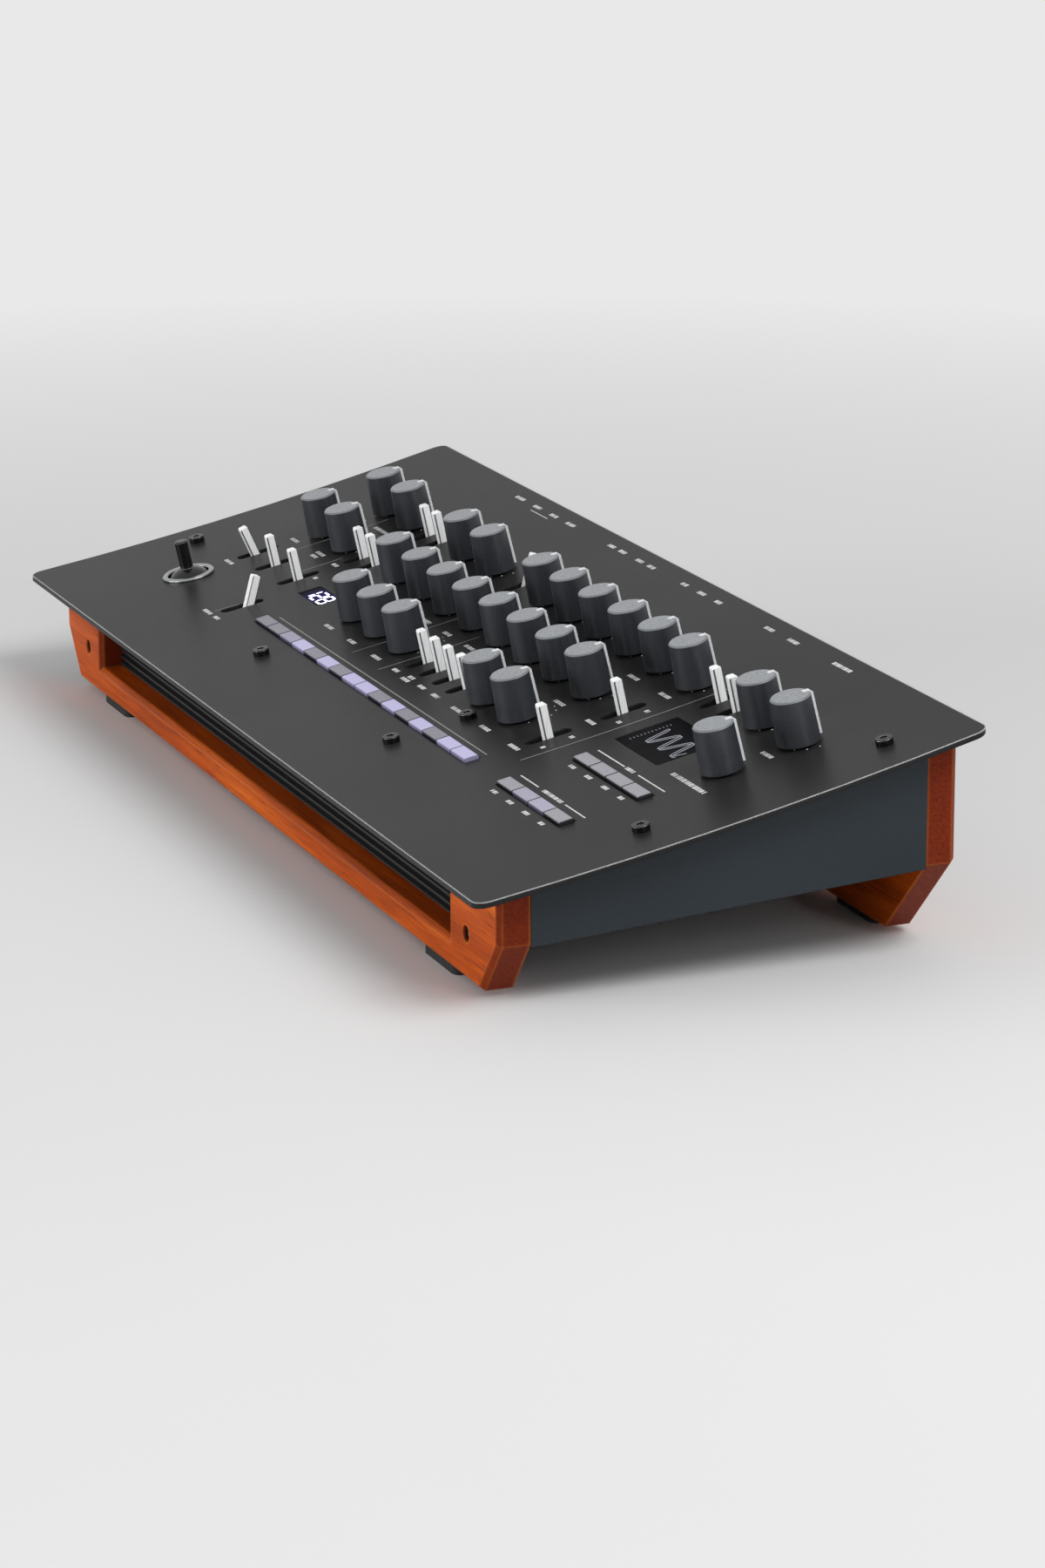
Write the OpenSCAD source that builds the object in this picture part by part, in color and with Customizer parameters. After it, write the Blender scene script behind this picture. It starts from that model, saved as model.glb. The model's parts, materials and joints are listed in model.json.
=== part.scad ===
// Wide desktop synthesizer module: a curved sheet-metal panel on a shallow
// tray, two wooden rails, knobs, bar levers, a joystick, buttons and a display.
// Origin: centre of the footprint, on the surface that the feet stand on.
// +X runs to the right along the panel, +Y to the rear, +Z up. Millimetres.
// Heights called h are measured from the panel's face along a control's axis.

/* [Panel] */
// Width of the curved top panel
panel_w = 500; // [490:1:520]
// Depth of the panel, measured flat
panel_d = 181; // [179:1:190]
// Thickness of the panel sheet
panel_t = 2; // [1.5:0.1:2.5]
// Radius of the panel's hollow curve
curve_r = 1800; // [1600:10:2200]
// Slope of the panel at its front edge, in degrees
front_slope = 9.4; // [8.5:0.1:10]
// Height of the panel's face at its front edge
front_h = 41.5; // [40:0.5:45]
// Corner radius of the panel
panel_corner = 5; // [2:0.5:10]

/* [Tray] */
// Distance from the panel's side edge to the tray's side wall
tray_inset = 12.3; // [8:0.1:14]
// Distance from the panel's front edge to the tray's front wall
tray_front = 23.5; // [21:0.5:26]
// Depth of the tray, outside
tray_d = 141; // [139:0.5:143]
// Thickness of the tray sheet
tray_t = 1.5; // [1:0.1:2]
// Height of the tray's floor at the front, outside
tray_front_z = 21; // [18:0.5:22]
// Height of the tray's floor at the rear, outside
tray_rear_z = 31.3; // [26:0.1:33]
// Size of the tabs that the panel screws go into
screw_tab = [16, 18]; // [12:1:20]

/* [Rails] */
// Thickness of the front rail
front_rail_t = 11.5; // [10:0.5:14]
// Thickness of the rear rail
rear_rail_t = 11; // [8:0.5:13]
// Height of the rails' lower edge
rail_z = 3; // [2:0.5:5]
// Width of the rails' solid ends, either side of the open middle
rail_end_w = 43.5; // [35:0.5:50]
// Height of the front rail's low bar
front_bar_z = 13.5; // [11:0.5:16]
// Height of the rear rail's low bar
rear_bar_z = 30; // [22:1:31]
// Width and height of the cut at the front rail's lower corners
front_cut = [15.5, 19]; // [8:0.5:22]
// Width and height of the cut at the rear rail's lower corners
rear_cut = [29.5, 29.5]; // [20:0.5:32]
// Front rail's screws: distance from the rail's end, and height
front_screw = [28, 19]; // [14:0.5:32]
// Rear rail's screws: distance from the rail's end, and height
rear_screw = [22.5, 52]; // [14:0.5:60]
// Bevel along the rails' outer faces
rail_bevel = 1.75; // [0.5:0.05:2.5]

/* [Feet and vent] */
// Length, width and corner radius of a rubber foot
foot = [30, 8, 3]; // [2:0.5:36]
// Distance from a rail's end to the middle of a foot
foot_inset = 57.5; // [45:0.5:90]
// Thickness of the vent in the front rail
vent_t = 3.2; // [2.4:0.1:5]
// Distance between the vent's slats
slat_pitch = 3; // [2.4:0.1:5]

/* [Knobs] */
// Distance from the panel's front edge to the front row of controls
front_row_y = 50; // [49:0.5:51]
// Distance between the rows of controls
row_pitch = 28; // [27:0.5:28.5]
// Radius of a knob at its foot
knob_foot_r = 7.5; // [7:0.1:8.5]
// Radius of a knob at its top
knob_top_r = 7; // [6.5:0.1:8]
// Height of a knob's top
knob_top_h = 17.2; // [14:0.1:20]
// Gap between a knob and the panel
knob_gap = 1; // [0.8:0.1:1.5]
// Wall of a knob's cap
knob_wall = 1.4; // [1:0.1:2]
// Width of a knob's pointer rib
pointer_w = 1.6; // [1:0.1:2.5]
// Radius of a knob's shaft
shaft_r = 3; // [2.5:0.1:3.2]

/* [Levers] */
// Width and thickness of a lever's bar
lever_bar = [4, 3.4]; // [2.5:0.1:5]
// Height of a lever's tip when it stands upright
lever_tip_h = 12.2; // [9:0.1:15]
// Depth of a lever's pivot below the panel's face
lever_pivot = 6; // [5.5:0.1:6.5]
// Largest tilt of a lever either way, in degrees
lever_tilt = 27; // [20:1:27]
// Length of a lever's slot
lever_slot_l = 17.8; // [15:0.1:19]
// Radius of a lever's barrel
barrel_r = 2.4; // [2.1:0.1:2.6]
// Radius of a lever's pivot pin
lever_pin_r = 1.2; // [0.9:0.1:1.4]

/* [Joystick] */
// Joystick: distance right of the middle and from the panel's front edge
stick_at = [-188, 48]; // [-190:1:55]
// Outer and inner radius of the joystick's ring
stick_ring_r = [10.4, 8.3]; // [8:0.1:12]
// Radius of the joystick's rod
stick_r = 2.6; // [2:0.1:3]
// Height of the joystick's top
stick_top_h = 14.5; // [11:0.1:18]
// Depth of the joystick's pivot below the panel's face
stick_pivot = 7; // [6.8:0.1:7.3]
// Radius of the joystick's dust dome
dome_r = 10.5; // [10.3:0.1:10.6]

/* [Buttons] */
// Number of step buttons
steps = 16; // [8:1:16]
// Distance between step buttons
step_pitch = 13.86; // [12:0.02:13.9]
// Right end of the row of step buttons
step_right = 118.5; // [110:0.5:125]
// Depth of every button cap, front to rear
cap_d = 5.4; // [4.5:0.1:6.5]
// Height of a button cap above the panel
cap_h = 1.3; // [1.2:0.1:2]
// Gap between neighbouring button caps
cap_gap = 0.7; // [0.5:0.05:1]
// Left end of the rows of function buttons
function_left = 148; // [140:0.5:150]
// Distance between function buttons
function_pitch = 14; // [13:0.1:14.5]
// Travel of a button
button_travel = 1; // [0.5:0.1:1.2]

/* [Displays] */
// Main display: centre, from the middle and from the panel's front edge
screen_at = [159.9, 105]; // [100:0.5:162]
// Main display: width and depth of its window
screen_size = [37.4, 24.5]; // [20:0.1:40]
// Small display: centre
digits_at = [-111, 76]; // [-112:0.5:80]
// Small display: width and depth of its window
digits_size = [23, 9.5]; // [8:0.1:24]

/* [Circuit board] */
// Depth of the board below the panel in the middle of the panel
board_depth = 14; // [13.5:0.1:14.5]
// Thickness of the board
board_t = 1.6; // [1:0.1:2]
// Gap between the board and the tray's walls: at the sides, front and rear
board_gap = [10.2, 6]; // [3:0.1:14]

/* [Connectors] */
// Height of the connectors' centres
socket_z = 46; // [44:0.5:47]
// Bore radius of a large jack
jack_r = 3.25; // [3.2:0.01:3.3]
// Bore radius of a small jack
mini_r = 1.8; // [1.78:0.01:1.85]

/* [Screws] */
// Radius of a screw's shank
screw_r = 1.5; // [1.2:0.1:1.6]
// Radius and height of a panel screw's head
screw_head = [3, 1.7]; // [1.2:0.1:3.4]

/* [Clearances] */
// Gap under curved or sloping seats
seat_gap = 0.1; // [0.05:0.05:0.3]
// Radial play of shafts and pins in their bores
pin_play = 0.05; // [0.02:0.01:0.08]
// Play at each side between a moving bar, cap or glass and its opening
side_play = 0.5; // [0.3:0.05:0.7]
// Radial play of shafts and screws in panel holes
hole_play = 0.6; // [0.3:0.05:0.8]

/* [Hidden] */
$fn = 48;
arc_facets = 2880;
eps = 0.01;

// The panel's curve: an arc about a line along X, above the panel.
arc_y = -curve_r * sin(front_slope);
arc_z = front_h + curve_r * cos(front_slope);
function slope_at(y) = asin((y - arc_y) / curve_r);
function face_z(y) = arc_z - curve_r * cos(slope_at(y));
// How far cutters run past the part, and a height above all of it.
past = 20;
high = face_z(panel_d) + past;

// Controls, the board and their axes share one tilt, that of the middle row gap.
board_y = front_row_y + 1.5 * row_pitch;
board_tilt = slope_at(board_y);
function board_drop(y) = board_depth
    + (face_z(y) - face_z(board_y)) * cos(board_tilt)
    - (y - board_y) * sin(board_tilt);

tray_w = panel_w - 2 * tray_inset;
tray_rear = tray_front + tray_d;
rail_inset = 0.2;
rail_w = tray_w - 2 * rail_inset;
rail_gap_x = rail_w / 2 - rail_end_w;
rail_screw_l = 14;
rail_screw_head = [2.6, 1.8];
head_play = 0.3;
rail_cbore = [rail_screw_head[0] + head_play, 3];
// Tabs for the front rail's screws: width, and length past the screw and the floor.
rail_tab = [20, 5, 3];
foot_x = rail_w / 2 - foot_inset;
board_size = [tray_w - 2 * (tray_t + board_gap[0]), tray_d - 2 * (tray_t + board_gap[1])];

// Rows and columns of the controls.
function row_y(row) = front_row_y + (4 - row) * row_pitch;
col_x = [-186, -158, -99.5, -71, -44, -17.5, 9.5, 37, 64.5, 91.8, 119, 175.5, 203];
row1_cols = [0, 1, 2, 3, 5, 6, 7, 8, 9, 10, 11, 12];
row2_cols = [0, 1, 2, 3, 4, 5, 6, 7, 8, 9];
row3_cols = [3, 4, 5, 8, 9];
encoder_at = [col_x[12], row_y(2)];

function two_digits(n) = str(n < 10 ? "0" : "", n);
function knob_row(row, cols) = [for (i = [0:len(cols) - 1])
    [str("knob_row", row, "_", two_digits(i + 1)), [col_x[cols[i]], row_y(row)]]];
KNOBS = concat(knob_row(1, row1_cols), knob_row(2, row2_cols), knob_row(3, row3_cols));
all_knobs_at = concat([for (k = KNOBS) k[1]], [encoder_at]);

// Levers: distance right of the middle and tilt at rest, rearward positive.
row1_levers = [[-142, 0], [-128.5, 0], [-46, lever_tilt], [140, 0], [153.7, 0]];
row2_levers = [[-142, 0], [-128, 0], [118.7, 0]];
row3_levers = [[-190, -12], [-168, 0], [-141, 0], [2.5, 0], [15.8, 0], [29.3, 0],
               [42.8, 0], [118.7, 0]];
row4_levers = [[-127.6, lever_tilt]];
function lever_row(row, levers) = [for (i = [0:len(levers) - 1])
    [str("lever_row", row, "_", i + 1), [levers[i][0], row_y(row)], levers[i][1]]];
LEVERS = concat(lever_row(1, row1_levers), lever_row(2, row2_levers),
                lever_row(3, row3_levers), lever_row(4, row4_levers));

// Potentiometers: body, bushing, and depth of the bushing's blind bore.
pot_body = [10, 11, 6];
pot_bushing_r = 4.5;
pot_bushing_h = 4.5;
pot_bore = 6;
shaft_end_gap = 0.3;

// Lever switches: cheeks either side of the barrel, on a solid foot.
cheek_t = 1.5;
barrel_step = 0.2;
cheek_play = 0.1;
barrel_l = lever_bar[0] + 2 * barrel_step;
cheek_gap = barrel_l + 2 * cheek_play;
cheek_d = 12;
cheek_above_pivot = 2.5;
switch_foot_h = 3.5;
lever_slot_w = lever_bar[0] + 2 * side_play;

// Buttons: cap skirt, stem and the switch that guides the stem.
cap_skirt_h = 3.5;
cap_edge_r = 0.6;
stem_r = 1.65;
stem_in = 2;
key_switch = [6, 6, 5];
stem_end_gap = 0.5;
key_bore = stem_in + button_travel + stem_end_gap;
step_left = step_right - steps * step_pitch;
function step_at(i) = [step_left + (i + 0.5) * step_pitch, row_y(4)];
function function_at(i) = [function_left + (i % 4 + 0.5) * function_pitch,
                           i < 4 ? row_y(3) : row_y(4)];
steps_at = [for (i = [0:steps - 1]) step_at(i)];
functions_at = [for (i = [0:7]) function_at(i)];

// Displays: glass, and the module that carries it on the board.
glass_t = 1.2;
window_corner = 0.8;
glass_drop = 0.2;
module_margin = 2;
module_t = 2.5;
pillar_r = 2;

// Joystick: hub, gimbal ring and the two ears that carry it.
dome_t = 1.1;
dome_rim = 4;
gimbal_r = [6, 4.4];
gimbal_h = 4;
gimbal_pin_r = 1.1;
ear_x = [6.3, 7.8];
ear_d = 6;
ear_above_pivot = 2.2;
cradle = [20, 15, 1.5];
stick_pin_r = 1;
ring_seat = 0.8;
stick_hole_r = stick_ring_r[0] - ring_seat;
ring_h = 1.2;
ring_lip = 0.5;

// Screws: across the panel, with standoffs under the three inner ones.
inner_screws_at = [[-62, 35.5], [75.5, 36.4], [75.5, 65.3]];
// Edge screws: distance from the panel's side, and from the tray's front and rear.
edge_screw_inset = 20.3;
edge_screws_y = [tray_front + 41.9, tray_rear - 12];
edge_screws_at = [for (y = edge_screws_y, s = [-1, 1])
    [s * (panel_w / 2 - edge_screw_inset), y]];
screw_l = 8;
hex_key = [1.15, 1];
standoff_r = 3.1;
standoff_bore = 9;

// Rear connectors, left to right as seen from the front.
jacks_x = [-145, -127.5, -111];
minis_x = [-93, 16.5, 32.5, 48.5];
dins_x = [-47, -19];
usb_x = 92;
power_x = 112;
jack_body = [15.5, 24, 13];
jack_bushing_r = 4.5;
jack_nut_r = 6.6;
mini_body = [8.5, 13, 9];
mini_bushing_r = 3;
mini_nut_r = 4;
nut_t = 2;
bushing_out = 4.5;
din_body = [20, 18, 14];
din_r = 7.4;
din_pin = [3.75, 0.75, 6];
usb_body = [12, 16, 10.8];
usb_mouth = [8.5, 7.8];
usb_depth = 9;
usb_tongue = [5.6, 3.2];
dc_body = [9, 13, 10];
dc_r = 4;
dc_mouth_r = 2.8;
shell_out = 1.5;

// ---- Frames ----

// Panel coordinates have y = 0 at the panel's front edge.
module on_desk() translate([0, -panel_d / 2, 0]) children();

// A frame on the panel's face, along the controls' common axis.
module at_control(at, h = 0)
    translate([at[0], at[1], face_z(at[1])]) rotate([board_tilt, 0, 0])
        translate([0, 0, h]) children();

// A frame on the panel's face, square to the face.
module at_face(at, h = 0)
    translate([at[0], at[1], face_z(at[1])]) rotate([slope_at(at[1]), 0, 0])
        translate([0, 0, h]) children();

// A frame on the board's upper side, under a control.
module at_board(at) at_control(at, -board_drop(at[1])) children();

// A frame on the tray's rear wall, outside, with +Z pointing to the rear.
module at_socket(x) translate([x, tray_rear, socket_z]) rotate([-90, 0, 0]) children();

module box_on(size) translate([0, 0, size[2] / 2]) cube(size, center = true);

module arc_cylinder(r) translate([0, arc_y, arc_z]) rotate([0, 90, 0])
    cylinder(r = r, h = panel_w + 2 * past, center = true, $fn = arc_facets);

// Trims its children to the panel's underside, less a gap.
module under_panel(gap) difference() {
    children();
    arc_cylinder(curve_r + panel_t + gap);
}

// A profile drawn in depth and height, drawn out across the width.
module across(w) rotate([90, 0, 90]) linear_extrude(w, center = true) children();

module rounded_rect(size, r) {
    square([size[0] - 2 * r, size[1]], center = true);
    square([size[0], size[1] - 2 * r], center = true);
    for (sx = [-1, 1], sy = [-1, 1])
        translate([sx * (size[0] / 2 - r), sy * (size[1] / 2 - r)]) circle(r);
}

// ---- Panel ----

module panel_sheet() difference() {
    intersection() {
        translate([0, panel_d / 2, 0]) linear_extrude(high)
            rounded_rect([panel_w, panel_d], panel_corner);
        arc_cylinder(curve_r + panel_t);
    }
    arc_cylinder(curve_r);
}

module through_panel(size, r = 0) translate([0, 0, -panel_t * 2])
    linear_extrude(panel_t * 4)
        if (r > 0) rounded_rect(size, r); else square(size, center = true);

module button_window(first, last, pitch)
    at_control([(first[0] + last[0]) / 2, first[1]])
        through_panel([last[0] - first[0] + pitch - cap_gap + 2 * side_play,
                       cap_d + 2 * side_play]);

module top_panel() on_desk() color([0.17, 0.17, 0.18]) difference() {
    panel_sheet();
    for (at = all_knobs_at)
        at_control(at) cylinder(r = shaft_r + hole_play, h = panel_t * 4, center = true);
    for (l = LEVERS)
        at_control(l[1]) through_panel([lever_slot_w, lever_slot_l], lever_slot_w / 2 - eps);
    button_window(steps_at[0], steps_at[steps - 1], step_pitch);
    for (first = [0, 4])
        button_window(functions_at[first], functions_at[first + 3], function_pitch);
    at_control(screen_at) through_panel(screen_size, window_corner);
    at_control(digits_at) through_panel(digits_size, window_corner);
    at_face(stick_at) cylinder(r = stick_hole_r, h = panel_t * 4, center = true);
    for (at = concat(inner_screws_at, edge_screws_at))
        at_face(at) cylinder(r = screw_r + hole_play / 2, h = panel_t * 4, center = true);
}

// ---- Tray ----

module tray_profile(t) polygon([
    [tray_front + t, tray_front_z + t],
    [tray_rear - t, tray_rear_z + t],
    [tray_rear - t, high + t],
    [tray_front + t, high + t]
]);

module screw_tabs() for (at = edge_screws_at)
    at_face(at, -panel_t - seat_gap - tray_t)
        translate([-sign(at[0]) * screw_tab[0] / 2
                   + sign(at[0]) * (tray_w / 2 - tray_t / 2 - abs(at[0])), 0, 0])
            box_on([screw_tab[0], screw_tab[1], tray_t]);

module rail_tabs() for (s = [-1, 1])
    translate([s * (rail_w / 2 - front_screw[0]) - rail_tab[0] / 2, tray_front,
               front_screw[1] - rail_tab[1]])
        cube([rail_tab[0], tray_t, tray_front_z + rail_tab[2] - front_screw[1] + rail_tab[1]]);

module rail_screw_holes(r)
    for (s = [-1, 1], row = [[front_screw, tray_front + tray_t], [rear_screw, tray_rear - tray_t]])
        translate([s * (rail_w / 2 - row[0][0]), row[1], row[0][1]]) rotate([90, 0, 0])
            cylinder(r = r, h = rail_screw_l + past, center = true);

module socket_holes() {
    for (x = jacks_x) at_socket(x)
        cylinder(r = jack_bushing_r + pin_play, h = tray_t * 4, center = true);
    for (x = minis_x) at_socket(x)
        cylinder(r = mini_bushing_r + pin_play, h = tray_t * 4, center = true);
    for (x = dins_x) at_socket(x)
        cylinder(r = din_r + seat_gap, h = tray_t * 4, center = true);
    at_socket(power_x) cylinder(r = dc_r + seat_gap, h = tray_t * 4, center = true);
    at_socket(usb_x) cube([usb_body[0] + 2 * seat_gap, usb_body[2] + 2 * seat_gap, tray_t * 4],
                          center = true);
}

module chassis() on_desk() color([0.16, 0.18, 0.22]) difference() {
    union() {
        under_panel(seat_gap) difference() {
            across(tray_w) tray_profile(0);
            across(tray_w - 2 * tray_t) tray_profile(tray_t);
        }
        screw_tabs();
        rail_tabs();
    }
    for (at = edge_screws_at)
        at_face(at) cylinder(r = screw_r + pin_play, h = past, center = true);
    rail_screw_holes(screw_r + pin_play);
    socket_holes();
}

// ---- Rails ----

// Outline of a rail, with its lower corners cut away.
function rail_outline(cut) = [
    [rail_w / 2, high], [rail_w / 2, rail_z + cut[1]], [rail_w / 2 - cut[0], rail_z],
    [-rail_w / 2 + cut[0], rail_z], [-rail_w / 2, rail_z + cut[1]], [-rail_w / 2, high]
];

// Removes the sharp edge along each side of a convex outline that lies in y = 0.
// The sloping sides get a little more, so that no four faces meet in one point.
module bevel_edges(points) {
    past = 3 * rail_bevel;
    for (i = [0:len(points) - 2]) {
        a = points[i];
        b = points[i + 1];
        bevel = rail_bevel + (i % 2) * 0.1;
        turn = atan2(b[1] - a[1], b[0] - a[0]);
        translate([a[0], 0, a[1]]) rotate([0, -turn, 0]) rotate([45, 0, 0])
            translate([-past, -past, -bevel / sqrt(2)])
                cube([norm(b - a) + 2 * past, 2 * past, past]);
    }
}

// The open middle, with the same bevel along its edges.
module rail_opening(bar_z, t) intersection() {
    flare = rail_bevel + 1;
    linear_extrude(high) polygon([
        [-rail_gap_x - flare, -1], [-rail_gap_x, rail_bevel], [-rail_gap_x, t + 1],
        [rail_gap_x, t + 1], [rail_gap_x, rail_bevel], [rail_gap_x + flare, -1]
    ]);
    across(rail_w) polygon([
        [-1, bar_z - flare], [rail_bevel, bar_z], [t + 1, bar_z],
        [t + 1, high + 1], [-1, high + 1]
    ]);
}

// A rail with its outer face in y = 0 and its seat in y = t.
module rail(t, cut, bar_z, screw_at) difference() {
    rotate([90, 0, 0]) translate([0, 0, -t]) linear_extrude(t) polygon(rail_outline(cut));
    bevel_edges(rail_outline(cut));
    rail_opening(bar_z, t);
    for (s = [-1, 1]) translate([s * (rail_w / 2 - screw_at[0]), 0, screw_at[1]]) rotate([-90, 0, 0]) {
        translate([0, 0, -1]) cylinder(r = rail_cbore[0], h = rail_cbore[1] + 1);
        cylinder(r = screw_r + hole_play / 2, h = t + 1);
    }
}

module front_rail() on_desk() color([0.72, 0.33, 0.12]) under_panel(seat_gap)
    translate([0, tray_front - front_rail_t, 0])
        rail(front_rail_t, front_cut, front_bar_z, front_screw);

module rear_rail() on_desk() color([0.72, 0.33, 0.12]) under_panel(seat_gap)
    translate([0, tray_rear + rear_rail_t, 0]) mirror([0, 1, 0])
        rail(rear_rail_t, rear_cut, rear_bar_z, rear_screw);

// ---- Vent and feet ----

module front_vent() on_desk() color([0.05, 0.05, 0.05]) under_panel(seat_gap) {
    low = front_bar_z + seat_gap;
    back = tray_front;
    slat_d = vent_t * 0.6;
    across(2 * (rail_gap_x - side_play)) {
        translate([back - vent_t + slat_d, low]) square([vent_t - slat_d, high]);
        for (z = [low + slat_pitch / 2 : slat_pitch : face_z(back)])
            polygon([[back - vent_t, z - 0.3], [back - vent_t, z + 0.3],
                     [back - vent_t + slat_d + eps, z + 0.9],
                     [back - vent_t + slat_d + eps, z - 0.6]]);
    }
}

module rubber_feet() on_desk() color([0.08, 0.08, 0.08])
    for (s = [-1, 1], y = [tray_front - front_rail_t / 2, tray_rear + rear_rail_t / 2])
        translate([s * foot_x, y, 0]) linear_extrude(rail_z) rounded_rect([foot[0], foot[1]], foot[2]);

// ---- Knobs ----

knob_chamfer = 0.5;
knob_roof = 2.4;
boss_r = 4.6;
knob_bore_top = knob_top_h - knob_roof - 1;
pointer_out = 0.9;

module knob_cap() difference() {
    union() {
        rotate_extrude($fn = 64) polygon([
            [0, knob_gap], [knob_foot_r, knob_gap],
            [knob_top_r, knob_top_h - knob_chamfer],
            [knob_top_r - knob_chamfer, knob_top_h], [0, knob_top_h]
        ]);
        rotate([90, 0, 90]) linear_extrude(pointer_w, center = true) polygon([
            [knob_top_r - 2, knob_gap], [knob_foot_r + pointer_out, knob_gap],
            [knob_top_r + pointer_out, knob_top_h - 0.8],
            [knob_top_r + pointer_out - 0.8, knob_top_h], [knob_top_r - 2, knob_top_h]
        ]);
    }
    rotate_extrude($fn = 64) polygon([
        [boss_r, knob_gap - 1], [knob_foot_r - knob_wall, knob_gap - 1],
        [knob_top_r - knob_wall, knob_top_h - knob_roof], [boss_r, knob_top_h - knob_roof]
    ]);
    cylinder(r = shaft_r + pin_play, h = knob_bore_top);
}

module knob_shaft(y) {
    low = -board_drop(y) + pot_body[2] + pot_bushing_h - pot_bore + shaft_end_gap;
    translate([0, 0, low]) cylinder(r = shaft_r, h = knob_bore_top - shaft_end_gap - low);
}

module knob(at) on_desk() at_control(at) color([0.2, 0.21, 0.24]) {
    knob_cap();
    knob_shaft(at[1]);
}

// ---- Levers ----

module chamfered_square(size, c) polygon([
    [-size[0] / 2 + c, -size[1] / 2], [size[0] / 2 - c, -size[1] / 2],
    [size[0] / 2, -size[1] / 2 + c], [size[0] / 2, size[1] / 2 - c],
    [size[0] / 2 - c, size[1] / 2], [-size[0] / 2 + c, size[1] / 2],
    [-size[0] / 2, size[1] / 2 - c], [-size[0] / 2, -size[1] / 2 + c]
]);

// A lever about its pivot: bar with a rounded tip, barrel and pivot pin.
module lever_body() {
    reach = lever_pivot + lever_tip_h;
    intersection() {
        linear_extrude(reach) chamfered_square(lever_bar, 0.45);
        across(lever_bar[0] + 1) translate([0, reach / 2 - 2])
            rounded_rect([lever_bar[1], reach + 4], 0.8);
    }
    rotate([0, 90, 0]) cylinder(r = barrel_r, h = barrel_l, center = true);
    rotate([0, 90, 0])
        cylinder(r = lever_pin_r, h = cheek_gap + 2 * (cheek_t - cheek_play), center = true);
}

module lever(at, tilt) on_desk() at_control(at, -lever_pivot) color([0.85, 0.86, 0.87])
    rotate([-tilt, 0, 0]) lever_body();

// ---- Buttons ----

module button_cap(at, w) at_control(at) {
    foot_h = -board_drop(at[1]) + key_switch[2] - stem_in;
    intersection() {
        translate([0, 0, -cap_skirt_h]) box_on([w, cap_d, cap_skirt_h + cap_h]);
        across(w + 1) translate([0, cap_h - past / 2])
            rounded_rect([cap_d, past], cap_edge_r);
    }
    translate([0, 0, foot_h]) cylinder(r = stem_r, h = -foot_h - cap_skirt_h + eps);
}

module step_buttons() on_desk() color([0.75, 0.75, 0.8])
    for (at = steps_at) button_cap(at, step_pitch - cap_gap);

module function_buttons() on_desk() color([0.75, 0.75, 0.8])
    for (at = functions_at) button_cap(at, function_pitch - cap_gap);

// ---- Joystick ----

// The ring on the panel and the cradle on the board.
module joystick_base() on_desk() color([0.6, 0.61, 0.62]) {
    at_face(stick_at, seat_gap) rotate_extrude($fn = 64) polygon([
        [stick_ring_r[1], 0], [stick_ring_r[0], 0], [stick_ring_r[0], ring_h - ring_lip],
        [stick_ring_r[0] - ring_lip, ring_h], [stick_ring_r[1] + ring_lip, ring_h],
        [stick_ring_r[1], ring_h - ring_lip]
    ]);
    at_board(stick_at) {
        lift = board_drop(stick_at[1]) - stick_pivot;
        difference() {
            union() {
                box_on(cradle);
                for (s = [-1, 1]) translate([s * (ear_x[0] + ear_x[1]) / 2, 0, 0])
                    box_on([ear_x[1] - ear_x[0], ear_d, lift + ear_above_pivot]);
            }
            translate([0, 0, lift]) rotate([0, 90, 0])
                cylinder(r = gimbal_pin_r + pin_play, h = cradle[0] + 2, center = true);
        }
    }
}

module joystick_gimbal() on_desk() at_control(stick_at, -stick_pivot)
    color([0.3, 0.3, 0.32]) difference() {
        union() {
            cylinder(r = gimbal_r[0], h = gimbal_h, center = true);
            for (s = [-1, 1]) rotate([0, s * 90, 0])
                translate([0, 0, gimbal_r[1] + 0.5])
                    cylinder(r = gimbal_pin_r, h = ear_x[1] - gimbal_r[1] - 0.7);
        }
        cylinder(r = gimbal_r[1], h = gimbal_h + 1, center = true);
        rotate([90, 0, 0])
            cylinder(r = stick_pin_r + pin_play, h = 2 * gimbal_r[0] + 1, center = true);
    }

module joystick() on_desk() at_control(stick_at, -stick_pivot) color([0.06, 0.06, 0.07]) {
    below = 2.5;
    reach = stick_pivot + stick_top_h;
    rotate_extrude($fn = 64) polygon([
        [0, -below], [stick_r, -below], [stick_r, reach - 0.5], [stick_r - 0.5, reach], [0, reach]
    ]);
    rotate([90, 0, 0])
        cylinder(r = stick_pin_r, h = 2 * gimbal_r[0] - 0.6, center = true);
    difference() {
        sphere(r = dome_r, $fn = 96);
        sphere(r = dome_r - dome_t, $fn = 96);
        translate([0, 0, -dome_r + dome_rim - 1]) cube(2 * dome_r + 2, center = true);
    }
}

// ---- Displays ----

function glass_size(window) = [window[0] - side_play, window[1] - side_play, glass_t];

module display_glass() on_desk() color([0.03, 0.03, 0.04])
    for (d = [[screen_at, screen_size], [digits_at, digits_size]])
        at_control(d[0], -glass_drop - glass_t) linear_extrude(glass_t)
            rounded_rect(glass_size(d[1]), window_corner - side_play / 2);

// A module: a raised bed under the glass, a plate and four pillars.
module display_module(at, window) {
    size = glass_size(window);
    plate_h = -panel_t - 2 * side_play;
    at_control(at) {
        translate([0, 0, plate_h - eps])
            box_on([size[0], size[1], -glass_drop - glass_t - plate_h + eps]);
        translate([0, 0, plate_h - module_t])
            box_on([size[0] + 2 * module_margin, size[1] + 2 * module_margin, module_t]);
    }
    at_board(at) for (sx = [-1, 1], sy = [-1, 1])
        translate([sx * (size[0] / 2 - pillar_r), sy * (size[1] / 2 - pillar_r), 0])
            cylinder(r = pillar_r, h = board_drop(at[1]) + plate_h - module_t + eps);
}

// ---- Circuit board ----

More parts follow.
